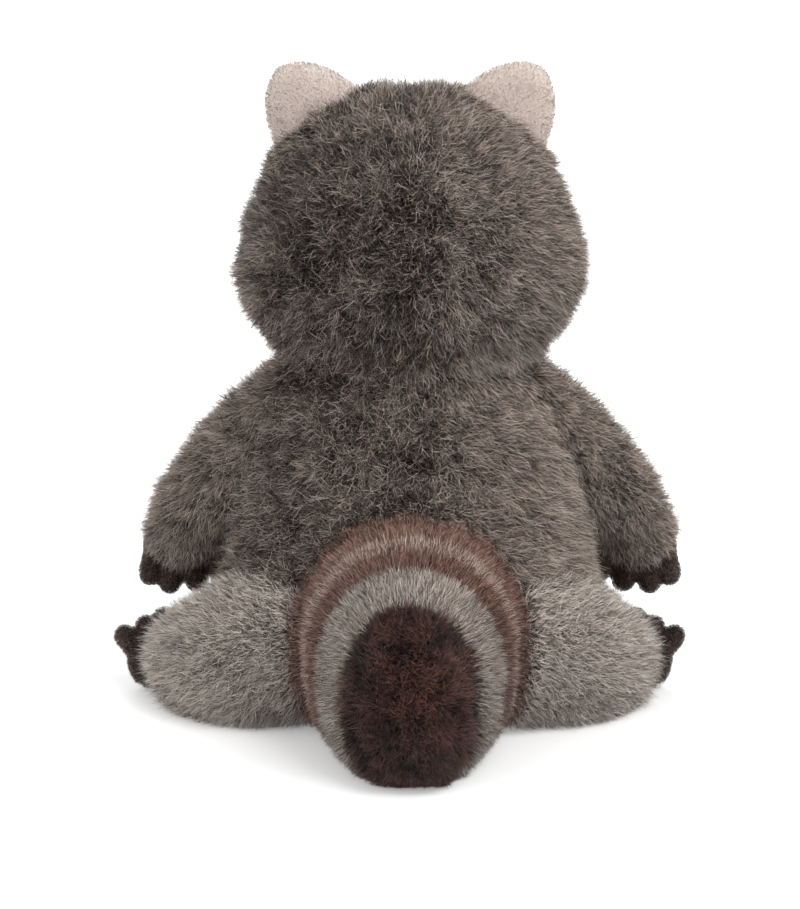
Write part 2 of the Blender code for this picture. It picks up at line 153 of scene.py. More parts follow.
@dataclass(frozen=True)
class Pile:
    """How the fibres of one fabric stand, in metres unless said otherwise."""

    length: float
    width: float
    density: float  # fibres per square millimetre
    lean: float = 0.35  # how far a fibre leans along the comb, against its height
    tousle: float = 0.22  # random lean of each fibre
    tuft: float = 0.25  # lean that neighbours share
    tuft_size: float = 0.004
    relief: float = 0.12  # how much longer and paler a tuft's crest is
    crimp: float = 0.35  # random turn of each fibre's outer half
    droop: float = 0.30  # how much further the outer half leans
    spread: float = 0.22  # how much lengths differ, as a share
    tone_spread: float = 0.22
    guard: float = 0.0  # share of guard hairs, which are longer and pale
    glint: float = 0.32  # how much each fibre's light differs
    sink: float = 0.72  # how deep the skin lies under the mean pile, as a share of the length
    reach: float = 0.0016  # a skin this near to another piece is inside their seam, and bears no pile
    fade: float = 0.011  # over this distance from a seam the pile grows to its full length


@dataclass
class Comb:
    """The pile's state at each root."""

    lean: Array  # rows of direction times strength
    length: Array | float  # shares of the pile's length
    tone: Array | float  # 0 for the darkest fibre to 1 for the palest
    tousle: Array | float = 1.0  # how much of the pile's random lean and relief


CombField = Callable[[Array, Array], Comb]
Colour = tuple[float, float, float, float]


def linear(code: str) -> Colour:
    """Args:
        code: A screen colour of six hexadecimal digits.

    Returns:
        The colour in linear light, with an alpha of one.
    """
    channels = [int(code[i : i + 2], 16) / 255 for i in (0, 2, 4)]
    red, green, blue = (c / 12.92 if c <= 0.04045 else ((c + 0.055) / 1.055) ** 2.4 for c in channels)
    return red, green, blue, 1.0


@dataclass(frozen=True)
class Dye:
    """Screen colours of a fabric's fibres at root, middle and tip, in their darkest and palest tones."""

    name: str
    slot: Slot
    dark: tuple[str, str, str]
    pale: tuple[str, str, str]


# Every dye's roots are much darker than its tips: partly the fibres' own colour, partly painted shade deep in the
# pile.
GREY = Dye("grey", Slot.GREY, ("0f0a08", "231913", "463429"), ("2b2019", "c6b0a1", "fff5e9"))
# A paler copy of the grey plush, in the same slot, for the legs: painted light on them.
GREY_LIT = Dye("grey_lit", Slot.GREY, ("2b211c", "625148", "998579"), ("4c3f38", "eadacd", "fffbf5"))
ASH = Dye("ash", Slot.PALE, ("5a4b42", "a3948a", "c0aea2"), ("70635a", "e2d2c6", "fff8ef"))
TAUPE = Dye("taupe", Slot.PALE, ("4f3a32", "987769", "b99886"), ("664e43", "e8c8b8", "ffeee4"))
BROWN = Dye("brown", Slot.BROWN, ("3f2922", "755145", "916b5c"), ("52382f", "bb9282", "e6bcac"))
CHESTNUT = Dye("chestnut", Slot.BROWN, ("38241d", "68463b", "865f51"), ("49322a", "a87e6f", "d8ad9d"))
UMBER = Dye("umber", Slot.DARK, ("0c0403", "1b0a05", "2e150d"), ("240f09", "6e4236", "b27d6c"))
FELT = Dye("felt", Slot.PAW, ("241a17", "43332e", "5c4a43"), ("35291f", "8d736a", "c8b0a4"))
CREAM = Dye("cream", Slot.CREAM, ("dccbc1", "efe0d7", "f8ece4"), ("ebdcd3", "fff4ed", "fffaf6"))
BLACK = Dye("black", Slot.NOSE, ("0a0808", "141110", "1d1918"), ("0e0c0b", "1e1a19", "2f2a28"))


class Value:
    """A number socket that takes part in Python expressions."""

    def __init__(self, nodes: "Nodes", socket: bpy.types.NodeSocket) -> None:
        """Args:
        nodes: The tree that holds the socket.
        socket: The output that gives the number.
        """
        self.nodes = nodes
        self.socket = socket

    def _maths(self, operation: str, first: "Value | float", second: "Value | float") -> "Value":
        """Adds a Math node and gives its result."""
        node = self.nodes.add("Math", {"operation": operation}, {0: first, 1: second})
        return Value(self.nodes, node.outputs[0])

    def __add__(self, other: "Value | float") -> "Value":
        """This number plus another."""
        return self._maths("ADD", self, other)

    __radd__ = __add__

    def __mul__(self, other: "Value | float") -> "Value":
        """This number times another."""
        return self._maths("MULTIPLY", self, other)

    __rmul__ = __mul__

    def __sub__(self, other: "Value | float") -> "Value":
        """This number less another."""
        return self._maths("SUBTRACT", self, other)

    def __rsub__(self, other: "Value | float") -> "Value":
        """Another number less this one."""
        return self._maths("SUBTRACT", other, self)


class Nodes:
    """A node tree that grows by one call a node."""

    def __init__(self, tree: bpy.types.NodeTree) -> None:
        """Args:
        tree: The tree.
        """
        self.tree = tree

    def add(self, kind: str, settings: dict[str, Any], sockets: dict[str | int, Any]) -> bpy.types.Node:
        """Adds a node, sets it and feeds it.

        Args:
            kind: The node's type, without ShaderNode.
            settings: Its settings, and a ramp's stops as positions and colours.
            sockets: A number, a colour or a link for each input named.

        Returns:
            The node.
        """
        node = self.tree.nodes.new(f"ShaderNode{kind}")
        stops = settings.get("stops", [])
        for name, value in settings.items():
            if name != "stops":
                setattr(node, name, value)
        for index, (position, colour) in enumerate(stops):
            elements = node.color_ramp.elements
            element = elements[index] if index < 2 else elements.new(position)
            element.position, element.color = position, colour
        for name, value in sockets.items():
            self.feed(node.inputs[name], value)
        return node

    def feed(self, socket: bpy.types.NodeSocket, value: Any) -> None:
        """Sets an input, or links it.

        Args:
            socket: The input.
            value: A number, a colour, a Value or an output.
        """
        if isinstance(value, Value):
            self.tree.links.new(value.socket, socket)
        elif isinstance(value, bpy.types.NodeSocket):
            self.tree.links.new(value, socket)
        else:
            socket.default_value = value

    def noise(self, scale: float) -> Value:
        """Args:
            scale: Cells per metre.

        Returns:
            Noise from 0 to 1 in the object's own space.
        """
        place = self.add("TexCoord", {}, {})
        node = self.add("TexNoise", {}, {"Vector": place.outputs["Object"], "Scale": scale, "Detail": 3.0})
        return Value(self, node.outputs["Fac"])


@dataclass(frozen=True)
class Finish:
    """A material: the plain numbers of its shader, and the colour that its paint method lays."""

    name: str
    roughness: float
    specular: float = 0.25
    sheen: float = 0.0
    coat: float = 0.0

    def made(self) -> bpy.types.Material:
        """Returns:
        The material, made on first use.
        """
        if self.name in bpy.data.materials:
            return bpy.data.materials[self.name]
        material = bpy.data.materials.new(self.name)
        material.use_nodes = True
        shader = material.node_tree.nodes["Principled BSDF"]
        shader.inputs["Roughness"].default_value = self.roughness
        shader.inputs["Specular IOR Level"].default_value = self.specular
        shader.inputs["Sheen Weight"].default_value = self.sheen
        shader.inputs["Coat Weight"].default_value = self.coat
        self.paint(Nodes(material.node_tree), shader)
        return material

    def paint(self, nodes: Nodes, shader: bpy.types.Node) -> None:
        """Colours the surface.

        Args:
            nodes: The material's nodes.
            shader: Its principled shader.
        """
        raise NotImplementedError


@dataclass(frozen=True)
class Mottled(Finish):
    """Two shades that a fine noise mixes, for plastic, thread and the woven ground under a pile."""

    shades: tuple[str, str] = ("000000", "ffffff")
    scale: float = 900.0

    def paint(self, nodes: Nodes, shader: bpy.types.Node) -> None:
        """Feeds the base colour from the noise."""
        stops = [(0.3, linear(self.shades[0])), (0.75, linear(self.shades[1]))]
        ramp = nodes.add("ValToRGB", {"stops": stops}, {"Fac": nodes.noise(self.scale)})
        nodes.feed(shader.inputs["Base Color"], ramp.outputs["Color"])


@dataclass(frozen=True)
class Fibre(Finish):
    """Fibres coloured from root to tip, each in the tone that its UV carries."""

    dye: Dye = GREY

    def paint(self, nodes: Nodes, shader: bpy.types.Node) -> None:
        """Feeds the base colour from the fibre's own UV: across is its tone, upwards its length."""
        uv = nodes.add("UVMap", {"uv_map": BAKE_UV}, {})
        split = nodes.add("SeparateXYZ", {}, {0: uv.outputs["UV"]})
        tone, along = Value(nodes, split.outputs["X"]), Value(nodes, split.outputs["Y"])
        ramps = []
        for shades in (self.dye.dark, self.dye.pale):
            stops = list(zip(RAMP_STOPS, map(linear, shades)))
            ramps.append(nodes.add("ValToRGB", {"stops": stops}, {"Fac": along}).outputs["Color"])
        # Fibres gather at the dark and the pale end: partly the fibres' own spread of tones, partly painted shade
        # between neighbouring fibres
        parted = tone * tone * (3 - 2 * tone)
        mix = nodes.add("Mix", {"data_type": "RGBA"}, {"Factor": parted, "A": ramps[0], "B": ramps[1]})
        nodes.feed(shader.inputs["Base Color"], mix.outputs["Result"])



def linked(name: str, mesh: bpy.types.Mesh) -> bpy.types.Object:
    """Args:
        name: The object's name.
        mesh: Its mesh.

    Returns:
        A new object in the scene.
    """
    obj = bpy.data.objects.new(name, mesh)
    bpy.context.scene.collection.objects.link(obj)
    return obj


def evaluated_mesh(obj: bpy.types.Object) -> bpy.types.Mesh:
    """Args:
        obj: An object with modifiers.

    Returns:
        Its mesh with the modifiers applied.
    """
    graph = bpy.context.evaluated_depsgraph_get()
    return bpy.data.meshes.new_from_object(obj.evaluated_get(graph))


def coordinates(mesh: bpy.types.Mesh) -> Array:
    """Args:
        mesh: Any mesh.

    Returns:
        Its vertices as rows.
    """
    points = np.empty(len(mesh.vertices) * 3)
    mesh.vertices.foreach_get("co", points)
    return points.reshape(-1, 3)


def normals_of(mesh: bpy.types.Mesh) -> Array:
    """Args:
        mesh: Any mesh.

    Returns:
        Its vertex normals as rows.
    """
    normals = np.empty(len(mesh.vertices) * 3)
    mesh.vertices.foreach_get("normal", normals)
    return normals.reshape(-1, 3)


class Neighbours:
    """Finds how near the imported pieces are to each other."""

    def __init__(self) -> None:
        """Reads every CAD node's triangles once."""
        self.triangles: dict[str, tuple[Array, Array]] = {}
        for name, node in frame["nodes"].items():
            mesh = node.data
            mesh.calc_loop_triangles()
            faces = np.empty(len(mesh.loop_triangles) * 3, np.int64)
            mesh.loop_triangles.foreach_get("vertices", faces)
            world = np.array(node.matrix_world)
            self.triangles[name] = (coordinates(mesh) @ world[:3, :3].T + world[:3, 3], faces.reshape(-1, 3))

    def distances(self, points: Array, excluded: set[str]) -> Array:
        """Args:
            points: Rows of positions.
            excluded: Nodes that don't count.

        Returns:
            Each point's distance to the nearest other piece or to the floor.
        """
        corners, faces, offset = [], [], 0
        for name, (vertices, triangles) in self.triangles.items():
            if name in excluded:
                continue
            corners.append(vertices)
            faces.append(triangles + offset)
            offset += len(vertices)
        tree = BVHTree.FromPolygons(np.vstack(corners).tolist(), np.vstack(faces).tolist())
        found = np.array([tree.find_nearest(Vector(point))[3] for point in points])
        return np.minimum(found, np.maximum(points[:, 2], 0) * FLOOR_FADE)


@dataclass
class Skin:
    """A woven skin, its piece in the scene and how close each vertex is to a seam."""

    obj: bpy.types.Object
    distance: Array  # to the pieces that the pile makes way for
    contact: Array  # to any other piece


@dataclass(frozen=True)
class Core:
    """A line inside a piece, which its skin shrinks towards and its pile stands away from."""

    start: tuple[float, float, float]
    end: tuple[float, float, float]
    radius: float

    def inward(self, points: Array) -> Array:
        """Args:
            points: Rows of positions.

        Returns:
            Rows of steps inwards, of length one at the core's radius.
        """
        start, run = np.array(self.start), np.subtract(self.end, self.start)
        share = np.clip((points - start) @ run / (run @ run), 0, 1)
        return (start + share[:, None] * run - points) / self.radius


@dataclass
class Roots:
    """Where fibres grow."""

    points: Array
    normals: Array
    distance: Array


@dataclass(frozen=True)
class Plush:
    """One stuffed piece: its node, dye, pile and comb, and the fineness of its skin."""

    node: str
    dye: Dye
    pile: Pile
    comb: CombField
    voxel: float
    fill: float = 0.8
    ignore: tuple[str, ...] = ()
    core: Core | None = None
    halves: bool = False  # its pile is kept as two pieces, one for each side
    rounds: int = 4  # of smoothing on its skin

    INNER: ClassVar[float] = 0.55  # a fibre's length from its root to its bend, as a share
    OUTER: ClassVar[float] = 0.45  # and from its bend to its tip
    SEAM_LEAN: ClassVar[float] = 0.8  # how much further the pile leans at a seam
    SEAM_TRIM: ClassVar[float] = 0.28  # how much shorter it is there
    GUARD_LENGTH: ClassVar[float] = 1.12
    GUARD_TONE: ClassVar[float] = 0.97
    BACK_SHARE: ClassVar[float] = 0.25  # how much more thickly fibres grow on what faces back
    SOLE_FACING: ClassVar[float] = -0.75  # a face that looks down at least this much
    SOLE_HEIGHT: ClassVar[float] = 0.004  # and lies lower than this bears no pile
    CORE_PULL: ClassVar[float] = 0.65  # how far a pile with a core stands away from it, and not off its skin
    TWIST: ClassVar[float] = 0.8  # radians that a blade is turned at random
    LENGTHS: ClassVar[tuple[float, float]] = (0.3, 1.7)  # the shortest and the longest fibre, as shares
    WIDTHS: ClassVar[tuple[float, float]] = (0.75, 1.25)
    TONES: ClassVar[tuple[float, float]] = (0.02, 0.98)

    def weave(self, near: Neighbours) -> Skin:
        """Weaves the skin under the pile.

        Args:
            near: Distances to the other pieces.

        Returns:
            The skin.
        """
        source, pile = frame["nodes"][self.node], self.pile
        mesh = source.data.copy()
        mesh.transform(source.matrix_world)
        obj = linked(f"skin_{self.node}", mesh)
        weld = obj.modifiers.new("weld", "WELD")
        weld.merge_threshold = WELD
        remesh = obj.modifiers.new("weave", "REMESH")
        remesh.mode = "VOXEL"
        remesh.voxel_size = self.voxel
        smooth = obj.modifiers.new("stuffing", "SMOOTH")
        smooth.factor = 0.5
        smooth.iterations = self.rounds
        woven = evaluated_mesh(obj)
        obj.modifiers.clear()
        obj.data = woven
        points, normals = coordinates(woven), normals_of(woven)
        contact = near.distances(points, {self.node})
        distance = near.distances(points, {self.node} | set(self.ignore)) if self.ignore else contact
        share = self.comb(points, normals).length * pile.sink * smoothstep(distance, pile.reach, pile.fade)
        inward = self.core.inward(points) if self.core else -normals
        points += inward * (pile.length * share)[:, None]
        points[:, 2] = np.maximum(points[:, 2], FLOOR_CLEARANCE)
        woven.vertices.foreach_set("co", points.ravel())
        woven.update()
        woven.shade_smooth()
        woven.materials.clear()
        # The ground takes the fibres' root colours: partly the backing's own colour, partly painted shade deep in the
        # pile.
        ground = Mottled(f"ground_{self.dye.name}", 0.9, shades=(self.dye.dark[0], self.dye.pale[0]))
        woven.materials.append(ground.made())
        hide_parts(self.node)
        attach(obj, "root")
        return Skin(obj, distance, contact)

    def scatter(self, skin: Skin, rng: np.random.Generator) -> Roots:
        """Picks the fibres' roots evenly over the skin, more thickly on the side that faces back.

        Args:
            skin: The skin.
            rng: The random numbers.

        Returns:
            The roots.
        """
        mesh = skin.obj.data
        mesh.calc_loop_triangles()
        faces = np.empty(len(mesh.loop_triangles) * 3, np.int64)
        mesh.loop_triangles.foreach_get("vertices", faces)
        faces = faces.reshape(-1, 3)
        points, normals = coordinates(mesh), normals_of(mesh)
        corners = points[faces]
        cross = np.cross(corners[:, 1] - corners[:, 0], corners[:, 2] - corners[:, 0])
        facing = unit(cross)
        open_air = skin.contact[faces].mean(axis=1) > self.pile.reach
        sole = (facing[:, 2] < self.SOLE_FACING) & (corners[:, :, 2].mean(axis=1) < self.SOLE_HEIGHT)
        weight = np.linalg.norm(cross, axis=1) / 2 * open_air * ~sole * (1 + self.BACK_SHARE * facing[:, 1])
        count = int(weight.sum() * 1e6 * self.pile.density)
        picked = rng.choice(len(faces), count, p=weight / weight.sum())
        first, second = rng.random((2, count))
        turn = first + second > 1
        first, second = np.where(turn, 1 - first, first), np.where(turn, 1 - second, second)
        shares = np.stack([1 - first - second, first, second], axis=1)[:, :, None]
        places = (points[faces[picked]] * shares).sum(axis=1)
        upright = unit((normals[faces[picked]] * shares).sum(axis=1))
        if self.core:
            upright = unit(upright * (1 - self.CORE_PULL) - unit(self.core.inward(places)) * self.CORE_PULL)
        return Roots(places, upright, (skin.distance[faces[picked]] * shares[:, :, 0]).sum(axis=1))

    def grow(self, skin: Skin, seed: int) -> int:
        """Grows the pile as kite-shaped fibres, each bent at its widest place.

        Args:
            skin: Where it grows.
            seed: Picks its random numbers.

        Returns:
            The number of fibres.
        """
        rng, pile = np.random.default_rng(seed), self.pile
        roots = self.scatter(skin, rng)
        count = len(roots.points)
        state = self.comb(roots.points, roots.normals)
        tufts = NoiseField(pile.tuft_size, seed + 1)(roots.points)
        swirl = NoiseField(pile.tuft_size * 4, seed + 2)(roots.points)
        crest = NoiseField(pile.tuft_size * 1.3, seed + 3)(roots.points)[:, 0]
        seam = 1 - smoothstep(roots.distance, 0.0, pile.fade)
        loose = np.broadcast_to(np.asarray(state.tousle, float), count)
        lean = state.lean - roots.normals * (state.lean * roots.normals).sum(axis=1, keepdims=True)
        lean *= (1 + self.SEAM_LEAN * seam)[:, None]
        shared_lean = (tufts + swirl * 0.6) * pile.tuft * (0.4 + 0.6 * loose)[:, None]
        scatter = rng.normal(0, pile.tousle, (count, 3)) * loose[:, None]
        first = unit(roots.normals + lean * pile.lean + shared_lean + scatter)
        crimp = rng.normal(0, pile.crimp, (count, 3)) * loose[:, None]
        second = unit(first + lean * pile.droop + shared_lean * 0.6 + crimp)
        length = pile.length * state.length * np.clip(rng.normal(1, pile.spread, count), *self.LENGTHS)
        guard = rng.random(count) < pile.guard * (0.35 + 1.3 * state.tone)
        growth = (1 - self.SEAM_TRIM * seam) * (1 + pile.relief * crest * loose)
        length *= growth * np.where(guard, self.GUARD_LENGTH, 1)
        middle = roots.points + first * (length * self.INNER)[:, None]
        tip = middle + second * (length * self.OUTER)[:, None]
        # The blade's flat side looks outwards, with a random twist
        outward = unit(roots.normals - first * (first * roots.normals).sum(axis=1, keepdims=True) + 1e-6)
        sideways = np.cross(first, outward)
        twist = rng.normal(0, self.TWIST, count)[:, None]
        across = sideways * np.cos(twist) + outward * np.sin(twist)
        half = across * (pile.width * 0.5 * rng.uniform(*self.WIDTHS, count))[:, None]
        shading = unit(roots.normals * 0.8 + second * 0.25 + rng.normal(0, pile.glint, (count, 3)))
        # Its face is turned the way that it is lit, because Cycles darkens a normal on the far side of a face
        behind = (np.cross(half, middle - roots.points) * shading).sum(axis=1) < 0
        half[behind] *= -1
        corners = np.stack([roots.points, middle - half, middle + half, tip], axis=1)
        corners[:, :, 2] = np.maximum(corners[:, :, 2], FLOOR_CLEARANCE)
        tone = state.tone + rng.normal(0, pile.tone_spread, count) + crest * (0.04 + pile.relief) * loose
        tone = np.clip(np.where(guard, self.GUARD_TONE, tone), *self.TONES)
        finish = Fibre(f"fibre_{self.dye.name}", 0.62, sheen=0.15, dye=self.dye).made()
        left = roots.points[:, 0] > 0
        sides = (("_left", left), ("_right", ~left)) if self.halves else (("", np.ones(count, bool)),)
        for side, chosen in sides:
            obj = fibre_object(f"pile_{self.node}{side}", corners[chosen], tone[chosen], shading[chosen])
            obj.data.materials.append(finish)
            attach(obj, "root")
        return count

    def sew(self, near: Neighbours, seed: int) -> None:
        """Weaves the piece's skin and grows its pile.

        Args:
            near: Distances to the other pieces.
            seed: Picks its random numbers.
        """
        count = self.grow(self.weave(near), SEED + seed)
        log.info("%s: %d fibres", self.node, count)


def fibre_object(name: str, corners: Array, tone: Array, shading: Array) -> bpy.types.Object:
    """Makes a pile's mesh, two triangles a fibre.

    Args:
        name: The piece's name.
        corners: Root, two middles and tip of each fibre.
        tone: Each fibre's tone.
        shading: The normal that each fibre is lit with.

    Returns:
        The object.
    """
    count = len(corners)
    pattern = np.array([0, 2, 1, 1, 2, 3])
    index = (np.arange(count)[:, None] * 4 + pattern).ravel()
    mesh = bpy.data.meshes.new(name)
    mesh.vertices.add(count * 4)
    mesh.vertices.foreach_set("co", corners.reshape(-1))
    mesh.loops.add(count * 6)
    mesh.loops.foreach_set("vertex_index", index)
    mesh.polygons.add(count * 2)
    mesh.polygons.foreach_set("loop_start", np.arange(0, count * 6, 3))
    mesh.update(calc_edges=True)
    layer = mesh.uv_layers.new(name=BAKE_UV)
    # A sliver of the map, so that each fibre has some area to bake: its tone across, root to tip upwards
    sideways = np.array([0.0, 0.006, -0.006, 0.0])[pattern]
    upwards = np.array([0.004, 0.60, 0.60, 0.996])[pattern]
    places = np.stack([tone[:, None] + sideways, np.broadcast_to(upwards, (count, 6))], axis=2)
    layer.uv.foreach_set("vector", places.ravel())
    mesh.shade_smooth()
    mesh.normals_split_custom_set_from_vertices(np.repeat(shading, 4, axis=0))
    return linked(name, mesh)


def radial(points: Array, centre: tuple[float, float, float]) -> Array:
    """Args:
        points: Rows of positions.
        centre: A point.

    Returns:
        Unit directions away from it.
    """
    return unit(points - np.array(centre))


def swept(count: int, across: Array | float, along: Array | float, upwards: Array | float) -> Array:
    """Args:
        count: The number of roots.
        across: The sweep to the left side.
        along: The sweep to the back.
        upwards: The sweep up.

    Returns:
        The sweep at each root, as rows.
    """
    return np.stack([np.broadcast_to(part, count) for part in (across, along, upwards)], axis=1)


def comb_back(points: Array, normals: Array) -> Comb:
    """The grey pile of head and torso: end-on left of the seam, swept outwards and down right of it.

    Args:
        points: The roots.
        normals: The skin's normals there; not used.

    Returns:
        The comb.
    """
    x, y, z = points.T
    right = smoothstep(x, 0.008, -0.024)
    edge = smoothstep(np.abs(x), 0.030, 0.066)
    low = smoothstep(z, 0.070, 0.020)
    body = smoothstep(z, 0.150, 0.120)
    crown = smoothstep(z, 0.200, 0.235)
    chin = smoothstep(z, 0.152, 0.134) * (z > 0.120)
    face = smoothstep(y, -0.030, -0.050) * (z > 0.135)
    # The parting lies a little left of the middle, is 1 mm wide and fades towards the crown
    seam = np.exp(-((x - 0.0008) ** 2) / (2 * 0.0010**2)) * smoothstep(z, 0.150, 0.165) * (y > 0)
    seam *= 1 - 0.6 * smoothstep(z, 0.200, 0.215)
    outwards = np.where(x < 0, -1.0, 0.75) * smoothstep(np.abs(x), 0.0, 0.010)
    sweep = swept(len(points), outwards, 0.0, -0.55)
    sweep[:, 2] -= 0.25 * body
    sweep[:, 2] -= 0.9 * chin
    strength = 0.25 + 0.75 * right + 0.35 * edge
    length = (1 - 0.22 * seam) * (1 - 0.45 * face)
    # Painted light in the tone: the right side is paler, partly from the pale tips its lying fibres show, partly as
    # painted light from the right; the outer sides are paler as painted sheen, the crown as painted top light, and the
    # parting is darker as painted shade in its crease. The torso and the low parts are paler too.
    tone = 0.27 + 0.18 * right + 0.14 * edge + 0.10 * body + 0.27 * crown + 0.16 * low - 0.22 * seam
    return Comb(sweep * strength[:, None], length, tone, 1.45 - 0.65 * right - 0.3 * edge)


def comb_limb(points: Array, normals: Array) -> Comb:
    """The grey pile of the arms, swept down and outwards.

    Args:
        points: The roots.
        normals: The skin's normals there.

    Returns:
        The comb.
    """
    x = points[:, 0]
    edge = smoothstep(np.abs(normals[:, 0]), 0.5, 0.95)
    # Painted light in the tone: paler where the arm's side faces outwards, a painted sheen, and a little darker on the
    # right arm, a painted shade on that side.
    return Comb(swept(len(x), np.sign(x) * 0.55, 0.0, -0.9), 1.0, 0.60 + 0.24 * edge - 0.05 * (x < 0))


def comb_leg(points: Array, normals: Array) -> Comb:
    """The legs' pile, painted paler than the torso's as light on the legs, and swept outwards along the floor.

    Args:
        points: The roots.
        normals: The skin's normals there; not used.

    Returns:
        The comb.
    """
    x = points[:, 0]
    # Painted light in the tone: the outer ends are paler as painted rim light, and the left leg is darker as painted
    # shade on that side.
    tone = 0.86 + 0.12 * smoothstep(np.abs(x), 0.05, 0.09) - 0.08 * (x > 0)
    return Comb(swept(len(x), np.sign(x), -0.15, -0.25), 1.0, tone)


def comb_tail(points: Array, normals: Array) -> Comb:
    """The tail's pile, which stands straight out all round, with painted light: palest on top, paler on the left and
    darker on the right.

    Args:
        points: The roots.
        normals: The skin's normals there; not used.

    Returns:
        The comb.
    """
    x, _, z = points.T
    # Painted light in the tone: paler on top, paler on the left and darker on the right.
    tone = 0.47 + 0.10 * np.clip(x / 0.03, -1, 1) + 0.15 * smoothstep(z, 0.045, 0.075)
    return Comb(np.zeros_like(points), 1.0, tone)


def comb_tip(points: Array, normals: Array) -> Comb:
    """The tousled pile of the tail's dark end, which falls outwards and down.

    Args:
        points: The roots.
        normals: The skin's normals there; not used.

    Returns:
        The comb.
    """
    away = radial(points, (0.0, 0.125, 0.045))
    away[:, 1] *= 0.2
    side = smoothstep(np.abs(points[:, 0]), 0.010, 0.028)
    low = smoothstep(points[:, 2], 0.030, 0.006)
    return Comb(away * 0.6, 0.72 + 0.55 * side - 0.15 * low, 0.44)


def comb_ear(points: Array, normals: Array) -> Comb:
    """The short cream pile of the ears, combed up and outwards.

    Args:
        points: The roots.
        normals: The skin's normals there.

    Returns:
        The comb.
    """
    x = points[:, 0]
    rim = smoothstep(np.abs(normals[:, 1]), 0.8, 0.3)
    # Painted light in the tone: paler at the rim, a painted sheen where the ear turns sideways, and paler on the left
    # ear, a painted light on the ear that the key lamp lights less.
    return Comb(swept(len(x), np.sign(x) * 0.5, 0.0, 0.8), 1.0, 0.48 + 0.25 * rim + 0.25 * (x > 0))


def comb_short(points: Array, normals: Array) -> Comb:
    """A short pile that falls down and outwards.

    Args:
        points: The roots.
        normals: The skin's normals there; not used.

    Returns:
        The comb.
    """
    x = points[:, 0]
    return Comb(swept(len(x), np.sign(x) * 0.4, 0.0, -0.8), 1.0, 0.42)


def comb_muzzle(points: Array, normals: Array) -> Comb:
    """The muzzle's pile, swept back from the nose and parted at the mouth.

    Args:
        points: The roots.
        normals: The skin's normals there; not used.

    Returns:
        The comb.
    """
    x, y, z = points.T
    parting = smoothstep(np.abs(x), 0.004, 0.0015) * (y < -0.07) * (z < 0.163)
    return Comb(radial(points, (0.0, -0.080, 0.166)), 1 - 0.6 * parting, 0.75)


LONG = Pile(
    0.0074, 0.00019, 6.1, lean=0.30, tousle=0.34, tuft=0.42, tuft_size=0.0034, crimp=0.6, relief=0.3, spread=0.28,
    tone_spread=0.28, guard=0.14, sink=0.80, reach=0.0010,
)
ARM = replace(LONG, density=6.6, tousle=0.30, tuft=0.30, crimp=0.45, relief=0.18)
LEG = replace(
    LONG, length=0.0070, width=0.00020, density=7.5, lean=0.25, tousle=0.30, tuft=0.20, crimp=0.45, relief=0.10,
    guard=0.24,
)
BAND = Pile(
    0.0060, 0.00020, 9.5, tousle=0.12, tuft=0.08, crimp=0.2, relief=0.08, droop=0.0, spread=0.16, sink=1.0,
    reach=0.0009, fade=0.003,
)
TIP = Pile(
    0.0070, 0.00021, 8.5, lean=0.1, tousle=0.38, tuft=0.55, tuft_size=0.0038, crimp=0.5, relief=0.40, droop=0.1,
    sink=1.1, reach=0.0009, fade=0.003,
)
EAR = Pile(
    0.0017, 0.00019, 7.5, lean=0.7, tousle=0.30, tuft=0.15, tuft_size=0.0022, relief=0.15, glint=0.12, sink=0.55,
    reach=0.0009, fade=0.004,
)
LINING = replace(EAR, sink=0.3, reach=0.0007, fade=0.002)
PAW = Pile(0.0013, 0.00020, 9.0, lean=0.6, tousle=0.25, tuft=0.1, tuft_size=0.002, sink=0.6, reach=0.0008, fade=0.002)
MUZZLE = Pile(
    0.0028, 0.00020, 6.0, lean=0.6, tuft=0.12, tuft_size=0.003, glint=0.12, sink=0.6, reach=0.0009, fade=0.004
)
MASK = replace(MUZZLE, length=0.0026, width=0.00024, density=8.5, glint=0.3, sink=0.4, reach=0.0008, fade=0.003)
FLOCK = Pile(
    0.0010, 0.00024, 9.0, lean=0.4, tousle=0.3, tuft=0.1, tuft_size=0.002, sink=0.5, reach=0.0006, fade=0.0015
)

EYE_NODES = ("eye_left", "eye_right", "eye_washer_left", "eye_washer_right")
TAIL_NODES = ("tail_brown_root", "tail_pale_ring", "tail_brown_ring", "tail_grey_ring", "tail_tip")
TAIL_CORE = Core((0.0, 0.0300, 0.0412), (0.0, 0.1095, 0.0345), 0.038)


